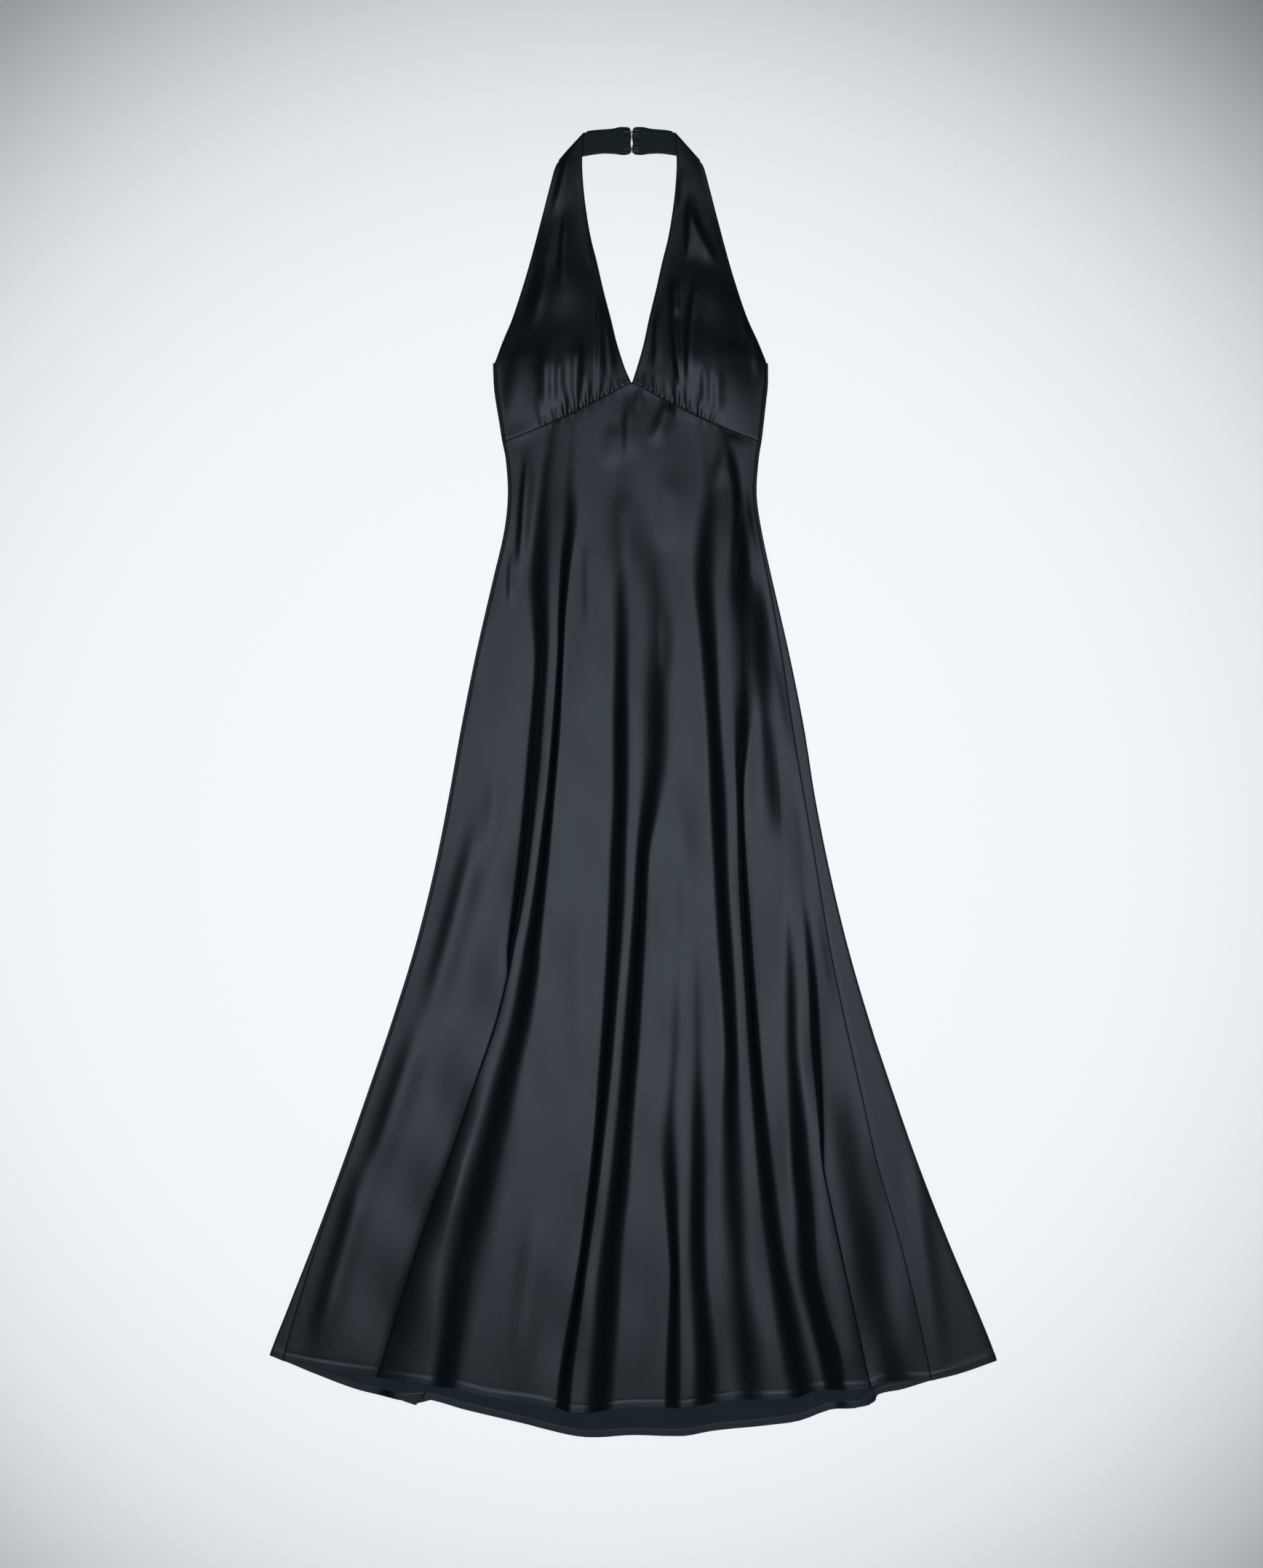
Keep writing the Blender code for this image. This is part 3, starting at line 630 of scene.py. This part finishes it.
def grain_group():
    """Fine grain of a woven face: a shade that varies, a roughness that varies and a relief."""
    tree = bpy.data.node_groups.new("satin_grain", "ShaderNodeTree")
    face = tree.interface
    face.new_socket("Grain Size", in_out="INPUT", socket_type="NodeSocketFloat")
    face.new_socket("Grain Strength", in_out="INPUT", socket_type="NodeSocketFloat")
    face.new_socket("Cloud Strength", in_out="INPUT", socket_type="NodeSocketFloat")
    face.new_socket("Shade", in_out="OUTPUT", socket_type="NodeSocketFloat")
    face.new_socket("Relief", in_out="OUTPUT", socket_type="NodeSocketFloat")
    inside = add_node(tree, "NodeGroupInput")
    out = add_node(tree, "NodeGroupOutput")
    place = add_node(tree, "ShaderNodeTexCoord")
    scale = add_node(tree, "ShaderNodeMath", operation="DIVIDE")
    scale.inputs[0].default_value = 1.0
    link(tree, inside.outputs["Grain Size"], scale.inputs[1])
    fine = add_node(tree, "ShaderNodeTexNoise", Detail=3.0, Roughness=0.65)
    link(tree, place.outputs["Object"], fine.inputs["Vector"])
    link(tree, scale.outputs[0], fine.inputs["Scale"])
    cloud = add_node(tree, "ShaderNodeTexNoise", Scale=26.0, Detail=4.0, Roughness=0.6)
    link(tree, place.outputs["Object"], cloud.inputs["Vector"])
    fine_part = centred(tree, fine.outputs["Fac"], inside.outputs["Grain Strength"])
    cloud_part = centred(tree, cloud.outputs["Fac"], inside.outputs["Cloud Strength"])
    total = add_node(tree, "ShaderNodeMath", operation="ADD")
    link(tree, fine_part, total.inputs[0])
    link(tree, cloud_part, total.inputs[1])
    shade = add_node(tree, "ShaderNodeMath", operation="ADD")
    shade.inputs[0].default_value = 1.0
    link(tree, total.outputs[0], shade.inputs[1])
    link(tree, shade.outputs[0], out.inputs["Shade"])
    link(tree, fine.outputs["Fac"], out.inputs["Relief"])
    return tree


def centred(tree, value, strength):
    """A value between nothing and one, moved to vary about nothing and made stronger or weaker."""
    lower = add_node(tree, "ShaderNodeMath", operation="SUBTRACT")
    lower.inputs[1].default_value = 0.5
    link(tree, value, lower.inputs[0])
    product = add_node(tree, "ShaderNodeMath", operation="MULTIPLY")
    link(tree, lower.outputs[0], product.inputs[0])
    link(tree, strength, product.inputs[1])
    return product.outputs[0]


GRAIN = grain_group()
# How much of a cloth's roughness follows its grain.
DULLNESS_RANGE = 0.15


def woven(name, colour, roughness, gloss, grain_size, grain, cloud, relief):
    """A woven cloth whose colour and roughness vary with its grain."""
    material = bpy.data.materials.new(name)
    material.use_nodes = True
    tree = material.node_tree
    shader = tree.nodes["Principled BSDF"]
    shader.inputs["Specular IOR Level"].default_value = gloss
    shader.inputs["Specular Tint"].default_value = (0.72, 0.83, 1.0, 1)
    surface = add_node(tree, "ShaderNodeGroup", node_tree=GRAIN)
    surface.inputs["Grain Size"].default_value = grain_size
    surface.inputs["Grain Strength"].default_value = grain
    surface.inputs["Cloud Strength"].default_value = cloud
    tint = add_node(tree, "ShaderNodeVectorMath", operation="SCALE")
    tint.inputs[0].default_value = colour
    link(tree, surface.outputs["Shade"], tint.inputs["Scale"])
    link(tree, tint.outputs[0], shader.inputs["Base Color"])
    dull = add_node(tree, "ShaderNodeMath", operation="MULTIPLY_ADD")
    dull.inputs[1].default_value = roughness * DULLNESS_RANGE
    dull.inputs[2].default_value = roughness * (1 - DULLNESS_RANGE)
    link(tree, surface.outputs["Shade"], dull.inputs[0])
    link(tree, dull.outputs[0], shader.inputs["Roughness"])
    raised = add_node(tree, "ShaderNodeBump", Strength=relief, Distance=0.0003)
    link(tree, surface.outputs["Relief"], raised.inputs["Height"])
    link(tree, raised.outputs["Normal"], shader.inputs["Normal"])
    return material


SATIN = woven("black_satin", (0.0010, 0.0022, 0.0029), 0.34, 0.30, 0.0013, 1.5, 0.5, 0.34)
WRONG_SIDE = woven("satin_wrong_side", (0.0085, 0.0135, 0.0185), 0.75, 0.10, 0.0010, 0.5, 0.3, 0.35)
BAND_SATIN = woven("band_satin", (0.0045, 0.0080, 0.0100), 0.55, 0.20, 0.0010, 0.6, 0.4, 0.30)
THREAD = woven("black_thread", (0.012, 0.014, 0.019), 0.55, 0.35, 0.0005, 0.5, 0.2, 0.2)


def make_front():
    """The skirt's front, from the seam under the bust to its turned and topstitched hem."""
    lines = []
    for share in row_shares(FRONT_LENGTH, FRONT_ROWS, SEAM_STEPS, HEM_STEPS):

        def down_at(x, share=share):
            return between(underbust_down(x), read(FRONT_HEM, "down", x), share)

        left = settled(lambda down: -read(SIDES, "left_seam", down), down_at)
        right = settled(lambda down: read(SIDES, "right_seam", down), down_at)
        line = folded_line(left, right, FRONT_FOLDS, FRONT_STRIPS, down_at)
        lines.append([(x, down_at(x), FRONT_LEVEL + z + lift_over_back(x, down_at(x))) for x, z in line])
    grid = np.array(lines)
    x, down, z = grid[..., 0], grid[..., 1], grid[..., 2]
    rows, columns = x.shape
    to_side = np.minimum(x - x[:, :1], x[:, -1:] - x)
    below_seam = down - down[0]
    above_hem = down[-1] - down
    free = eased(to_side / 0.012) * eased(below_seam / 0.012)
    z += free * (slow_waves(x, down) + crease_heights(x, down, SKIRT_CREASES))
    z += pucker_heights(x, down)
    z -= 0.00025 * bump(below_seam, 0.0008) + 0.0003 * bump(to_side, 0.0009)
    grid[..., 2] = z - 0.00025 * bump(above_hem - HEM_DEPTH, 0.0008)
    hem = (above_hem < HEM_DEPTH + 0.0003)
    thickness = np.where(hem, HEM_CLOTH, CLOTH)
    piece = panel("skirt_front_panel", grid, thickness, [SATIN, WRONG_SIDE], front_sides)
    return piece, grid


def front_sides(side, rows, columns):
    """The front's outer face is its second side. Its hem is turned up inside."""
    slots = np.zeros((rows - 1, columns - 1), dtype=int)
    if side == "first":
        slots[: -len(HEM_STEPS) + 3] = 1
    return slots.reshape(-1)


def back_sides(side, rows, columns):
    """The back's outer face is its first side. Its hem is turned up inside and shows there."""
    slots = np.zeros((rows - 1, columns - 1), dtype=int)
    if side == "second":
        slots[: -len(HEM_STEPS) + 3] = 1
    return slots.reshape(-1)


def wrapped_edge(side, down_at):
    """The back's cloth from a side seam on top, round the folded edge, to the surface below."""
    sign = {"left": -1, "right": 1}[side]
    seam = settled(lambda down: sign * read(SIDES, side + "_seam", down), down_at)
    edge = settled(lambda down: sign * read(SIDES, side + "_edge", down), down_at)
    middle = edge - sign * (CLOTH / 2 + EDGE_TURN)
    rise = FRONT_LEVEL - EDGE_TURN
    top = [(between(seam, middle, k / 8), FRONT_LEVEL) for k in range(8)]
    turn = [math.pi * k / 8 for k in range(9)]
    return top + [(middle + sign * EDGE_TURN * math.sin(a), rise + EDGE_TURN * math.cos(a)) for a in turn]


def back_row(down_at):
    """One row of points of the back panel, from seam to seam through its two folds."""
    left = wrapped_edge("left", down_at)
    right = wrapped_edge("right", down_at)
    under = folded_line(left[-1][0], right[-1][0], BACK_FOLDS, BACK_STRIPS, down_at)
    across = left + [(x, FLOOR_LEVEL + z) for x, z in under[1:-1]] + right[::-1]
    return [(x, down_at(x), z) for x, z in across]


def make_back():
    """The back of the dress, from its low upper edge to the hem. It wraps round both sides."""
    lines = []
    for row in range(16):
        share = row / 16

        def bodice_down(x, share=share):
            across = min(abs(x - POINT_X) / UNDERBUST["out"][-1], 1)
            top = between(UNDERBUST["down"][-1], UNDERARM_DOWN, across**4)
            return between(top, back_top_down(x), share)

        lines.append(back_row(bodice_down))
    for share in row_shares(BACK_LENGTH, BACK_ROWS, (0, 4.0), HEM_STEPS):
        lines.append(back_row(lambda x: between(back_top_down(x), read(BACK_HEM, "down", x), share)))
    grid = np.array(lines)
    x, down, z = grid[..., 0], grid[..., 1], grid[..., 2]
    above_hem = down[-1] - down
    z += crease_heights(x, down, BACK_CREASES)
    from_seam = np.minimum(np.abs(x - x[:, :1]), np.abs(x[:, -1:] - x))
    on_top = z > (FRONT_LEVEL + FLOOR_LEVEL) / 2
    z -= on_top * 0.0003 * bump(from_seam, 0.0009)
    grid[..., 2] = z
    hem = above_hem < HEM_DEPTH + 0.0003
    thickness = np.where(hem, HEM_CLOTH - 0.0003, CLOTH)
    piece = panel("skirt_back_panel", grid, thickness, [SATIN, WRONG_SIDE], back_sides)
    return piece, grid


def cup_row_ends(row):
    """Where a row of a cup starts at the armhole or side seam, and where it ends at the neckline."""
    waist = UNDERBUST["down"][-1]
    point = NECKLINE["down"][-1]
    if row <= CUP_STRAP_ROWS:
        outer = between(STRAP_TOP_DOWN, UNDERARM_DOWN, row / CUP_STRAP_ROWS)
        return outer, outer - STRAP_SLANT, 0
    left = (row - CUP_STRAP_ROWS) / CUP_LOWER_ROWS
    share = 1 - (1 - left) ** CUP_SEAM_CROWDING
    return between(UNDERARM_DOWN, waist, share), between(UNDERARM_DOWN - STRAP_SLANT, point, share), share


def make_cup(side, creases, gathers):
    """One halter cup: its strap, its dome and its gathers over the seam under the bust."""
    sign = {"left": -1, "right": 1}[side]
    shares = np.array(row_shares(0.14, CUP_COLUMNS, EDGE_STEPS, EDGE_STEPS))
    lines = []
    for row in range(CUP_STRAP_ROWS + CUP_LOWER_ROWS + 1):
        outer_down, inner_down, seam_share = cup_row_ends(row)
        inner_x = read(SWAY, "shift", inner_down) + sign * read(NECKLINE, "out", inner_down)
        if row < CUP_STRAP_ROWS:
            outer_x = read(SWAY, "shift", outer_down) + sign * read(ARMHOLE, "out", outer_down)
        else:
            outer_x = sign * read(SIDES, side + "_seam", outer_down)
        level, dome = (read(CUP_RISE, name, outer_down) for name in ("level", "dome"))
        line = []
        for u in shares:
            x = between(outer_x, inner_x, u)
            down = between(outer_down, inner_down, u)
            chord = between(UNDERBUST["down"][-1], NECKLINE["down"][-1], u)
            down += seam_share**2 * (underbust_down(x) - chord)
            line.append((x, down, level + dome * math.sin(math.pi * u ** DOME_SKEW[side]) ** DOME_POWER))
        lines.append(line)
    grid = np.array(lines)
    x, down, z = grid[..., 0], grid[..., 1], grid[..., 2]
    width = np.linalg.norm(grid[:, -1, :2] - grid[:, 0, :2], axis=1)[:, None]
    to_armhole = shares * width
    to_neckline = (1 - shares) * width
    to_edge = np.minimum(to_armhole, to_neckline)
    above_seam = down[-1] - down
    free = eased(to_edge / 0.010) * eased(above_seam / 0.016)
    z += free * (0.5 * slow_waves(x, down) + crease_heights(x, down, creases))
    z += eased(to_edge / 0.006) * gather_heights(x, down, sign, gathers)
    z -= 0.00025 * bump(above_seam, 0.0008) + 0.0004 * bump(to_edge, 0.0010)
    grid[..., 2] = z
    grid = np.concatenate([strap_roll(grid[0], sign), grid])
    return panel(side + "_cup_panel", grid, CLOTH, [SATIN, WRONG_SIDE], cup_sides(side)), grid


def strap_roll(line, sign):
    """Rows that roll the strap's top edge over and down to the neck band."""
    start, end = line[0, :2], line[-1, :2]
    along = (end - start) / np.linalg.norm(end - start)
    outward = np.array([sign * abs(along[1]), -abs(along[0])])
    rolled = []
    for k in range(ROLL_ROWS, 0, -1):
        turn = math.pi * k / ROLL_ROWS
        fallen = line.copy()
        radius = (line[:, 2] - BAND_THICK / 2) / 2
        fallen[:, :2] += outward * (radius * math.sin(turn))[:, None]
        fallen[:, 2] = line[:, 2] - radius * (1 - math.cos(turn))
        rolled.append(fallen)
    return np.array(rolled)


def cup_sides(side):
    """A cup's outer face looks up: its first side on the right cup and its second on the left."""
    outer = {"left": "second", "right": "first"}[side]
    return lambda which, rows, columns: np.full((rows - 1) * (columns - 1), int(which != outer))


def make_band(side):
    """Half of the neck band, the strap's own end folded back, with a stitched end at the hooks."""
    sign = {"left": -1, "right": 1}[side]
    fold_x = read(SWAY, "shift", 0) - BAND_MIDDLE_X
    top_reach = NECKLINE["out"][0] + sign * fold_x
    foot_reach = ARMHOLE["out"][0] + sign * fold_x
    lines = []
    for share in row_shares(0.07, BAND_COLUMNS, EDGE_STEPS, EDGE_STEPS):
        top_out = between(BAND_END, top_reach, share)
        foot_out = between(BAND_END, foot_reach, share)
        top_down = read(BAND_TOP, "down", top_out * between(1, BAND_TOP["out"][-1] / top_reach, share))
        foot_down = read(BAND_FOOT, "down", foot_out)
        line = []
        for across in row_shares(0.034, BAND_ROWS, EDGE_STEPS[:4], EDGE_STEPS[:4]):
            down = between(top_down, foot_down, across)
            wave = 0.0005 * math.sin(down * 420) * max(1 - share * 6, 0)
            x = BAND_MIDDLE_X + sign * (between(top_out, foot_out, across) + wave)
            line.append((x, down, BAND_THICK / 2))
        lines.append(line)
    grid = np.array(lines)
    x, down = grid[..., 0], grid[..., 1]
    to_edge = np.minimum(down - down[:, :1], down[:, -1:] - down)
    from_end = sign * (x - BAND_MIDDLE_X) - BAND_END
    puckers = 0.0006 * np.sin(down * 760 + sign) * bump(from_end - 0.004, 0.004)
    groove = 0.00035 * bump(from_end - 0.0075, 0.0007) + 0.00025 * bump(to_edge - 0.002, 0.0006)
    thickness = BAND_THICK - 2 * groove + puckers - 0.0009 * bump(to_edge, 0.0012)
    return panel("neck_band_" + side + "_half", grid, thickness, [BAND_SATIN], all_of(0)), grid


def along_path(rows, places, place):
    """The point, or the direction, at a distance along a path."""
    return np.array([np.interp(place, places, rows[:, c]) for c in range(3)])


def stitches(name, path, normals, spacing, length, radius):
    """A row of short stitches, each a small spindle of thread, along a path on the cloth."""
    steps = np.linalg.norm(np.diff(path, axis=0), axis=1)
    places = np.concatenate([[0], np.cumsum(steps)])
    points, faces = [], []
    sides, rings = 6, ((-0.5, 0.25), (-0.3, 1.0), (0.3, 1.0), (0.5, 0.25))
    for k in range(int(places[-1] / spacing)):
        middle = (k + 0.5) * spacing
        start = along_path(path, places, middle - length / 2)
        end = along_path(path, places, middle + length / 2)
        up = along_path(normals, places, middle)
        along = end - start
        if np.linalg.norm(along) < length * 0.5:
            continue
        side = np.cross(along, up)
        side /= np.linalg.norm(side)
        up = np.cross(side, along)
        up /= np.linalg.norm(up)
        centre = (start + end) / 2
        first = len(points)
        for place, share in rings:
            for corner in range(sides):
                turn = 2 * math.pi * corner / sides
                round_it = side * math.cos(turn) + up * math.sin(turn)
                points.append(centre + along * place + round_it * radius * share)
        for ring in range(len(rings) - 1):
            for corner in range(sides):
                a = first + ring * sides + corner
                b = first + ring * sides + (corner + 1) % sides
                faces.append((a, b, b + sides, a + sides))
        faces.append(tuple(first + corner for corner in reversed(range(sides))))
        faces.append(tuple(first + (len(rings) - 1) * sides + corner for corner in range(sides)))
    mesh = bpy.data.meshes.new(name)
    mesh.from_pydata([tuple(map(float, p)) for p in points], [], faces)
    mesh.materials.append(THREAD)
    mesh.shade_smooth()
    piece = bpy.data.objects.new(name, mesh)
    bpy.context.scene.collection.objects.link(piece)
    return piece


def thread_on(name, grid, row, outer, rise, spacing=0.0032, length=0.0024, radius=0.00022):
    """Stitches along one row of a panel's grid, on its outer (+1) or other (-1) side."""
    placed = np.stack([grid[..., 0], LENGTH / 2 - grid[..., 1], grid[..., 2]], axis=-1)
    normals = grid_normals(placed) * outer
    path = placed[row] + normals[row] * rise
    return stitches(name, path, normals[row], spacing, length, radius)


front, front_grid = make_front()
back, back_grid = make_back()
left_cup, left_grid = make_cup("left", LEFT_CUP_CREASES, LEFT_GATHERS)
right_cup, right_grid = make_cup("right", RIGHT_CUP_CREASES, RIGHT_GATHERS)
left_band, left_band_grid = make_band("left")
right_band, right_band_grid = make_band("right")

front_thread = thread_on("front_hem_stitching", front_grid, HEM_STITCH_ROW, -1, CLOTH / 2)
back_thread = thread_on("back_hem_stitching", back_grid, HEM_STITCH_ROW, -1, CLOTH / 2)

for piece, node in (
    (front, "skirt_front"),
    (back, "skirt_back"),
    (left_cup, "cup_left"),
    (right_cup, "cup_right"),
    (left_band, "neck_band_left"),
    (right_band, "neck_band_right"),
):
    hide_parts(node)
for piece in (front, back, left_cup, right_cup, front_thread, back_thread):
    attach(piece, "root")
for piece in (left_band, right_band):
    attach(piece, "root")


def steel_wire():
    """Fine grey wire with drawn marks, a little uneven in its shine."""
    material = bpy.data.materials.new("hook_wire")
    material.use_nodes = True
    tree = material.node_tree
    shader = tree.nodes["Principled BSDF"]
    shader.inputs["Metallic"].default_value = 1.0
    place = add_node(tree, "ShaderNodeTexCoord")
    drawn = add_node(tree, "ShaderNodeTexNoise", Scale=1800.0, Detail=2.0)
    link(tree, place.outputs["Object"], drawn.inputs["Vector"])
    colour = add_node(tree, "ShaderNodeMapRange", To_Min=0.20, To_Max=0.28)
    link(tree, drawn.outputs["Fac"], colour.inputs["Value"])
    link(tree, colour.outputs[0], shader.inputs["Base Color"])
    shine = add_node(tree, "ShaderNodeMapRange", To_Min=0.55, To_Max=0.70)
    link(tree, drawn.outputs["Fac"], shine.inputs["Value"])
    link(tree, shine.outputs[0], shader.inputs["Roughness"])
    return material


WIRE = steel_wire()
for name in ("hook_upper", "hook_lower", "eye_upper", "eye_lower"):
    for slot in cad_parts[name].material_slots:
        slot.material = WIRE


def make_floor():
    mesh = bpy.data.meshes.new("pale_floor")
    size = 12
    corners = [(-size, -size, 0), (size, -size, 0), (size, size, 0), (-size, size, 0)]
    mesh.from_pydata(corners, [], [(0, 1, 2, 3)])
    material = bpy.data.materials.new("pale_paper")
    material.use_nodes = True
    tree = material.node_tree
    shader = tree.nodes["Principled BSDF"]
    shader.inputs["Roughness"].default_value = 0.9
    shader.inputs["Specular IOR Level"].default_value = 0.1
    place = add_node(tree, "ShaderNodeTexCoord")
    tooth = add_node(tree, "ShaderNodeTexNoise", Scale=700.0, Detail=3.0)
    link(tree, place.outputs["Object"], tooth.inputs["Vector"])
    tone = add_node(tree, "ShaderNodeMapRange", To_Min=0.97, To_Max=1.03)
    link(tree, tooth.outputs["Fac"], tone.inputs["Value"])
    tint = add_node(tree, "ShaderNodeVectorMath", operation="SCALE")
    tint.inputs[0].default_value = (0.78, 0.80, 0.83)
    link(tree, tone.outputs[0], tint.inputs["Scale"])
    link(tree, tint.outputs[0], shader.inputs["Base Color"])
    mesh.materials.append(material)
    floor = bpy.data.objects.new("pale_floor", mesh)
    bpy.context.scene.collection.objects.link(floor)
    floor.location.z = -0.0002


def soft_light(name, place, target, size, power, colour):
    data = bpy.data.lights.new(name, "AREA")
    data.shape = "RECTANGLE"
    data.size, data.size_y = size
    data.energy = power
    data.color = colour
    light = bpy.data.objects.new(name, data)
    light.location = place
    aim = np.array(target) - np.array(place)
    light.rotation_euler = Vector(aim).to_track_quat("-Z", "Y").to_euler()
    light.visible_camera = False
    light.visible_diffuse = False
    bpy.context.scene.collection.objects.link(light)


def floor_spot(name, place, power):
    """A soft-edged round light for the floor, which shows in no gloss."""
    data = bpy.data.lights.new(name, "SPOT")
    data.energy = power
    data.spot_size = 2 * math.atan2(1.45, place[2])
    data.spot_blend = 0.70
    data.shadow_soft_size = 0.22
    light = bpy.data.objects.new(name, data)
    light.location = place
    light.visible_glossy = False
    bpy.context.scene.collection.objects.link(light)


make_floor()
soft_light("overhead_softbox", (-0.02, -0.20, 3.0), (-0.02, -0.20, 0), (1.3, 1.7), 36, (1.0, 1.0, 1.0))
floor_spot("floor_spot", (-0.05, -0.08, 3.4), 520)

world = bpy.data.worlds.new("studio")
bpy.context.scene.world = world
world.use_nodes = True
world.node_tree.nodes["Background"].inputs["Color"].default_value = (0.75, 0.82, 0.92, 1)
world.node_tree.nodes["Background"].inputs["Strength"].default_value = 0.06

bpy.context.scene.view_settings.view_transform = "Standard"

VIEW_HEIGHT = 1.8318
CAMERA_UP = 4.2
camera_data = bpy.data.cameras.new("overhead_camera")
camera_data.sensor_fit = "VERTICAL"
camera_data.sensor_height = 24
camera_data.lens = 24 * CAMERA_UP / VIEW_HEIGHT
camera = bpy.data.objects.new("overhead_camera", camera_data)
camera.location = (-0.0021, -0.0021, CAMERA_UP)
bpy.context.scene.collection.objects.link(camera)
bpy.context.scene.camera = camera
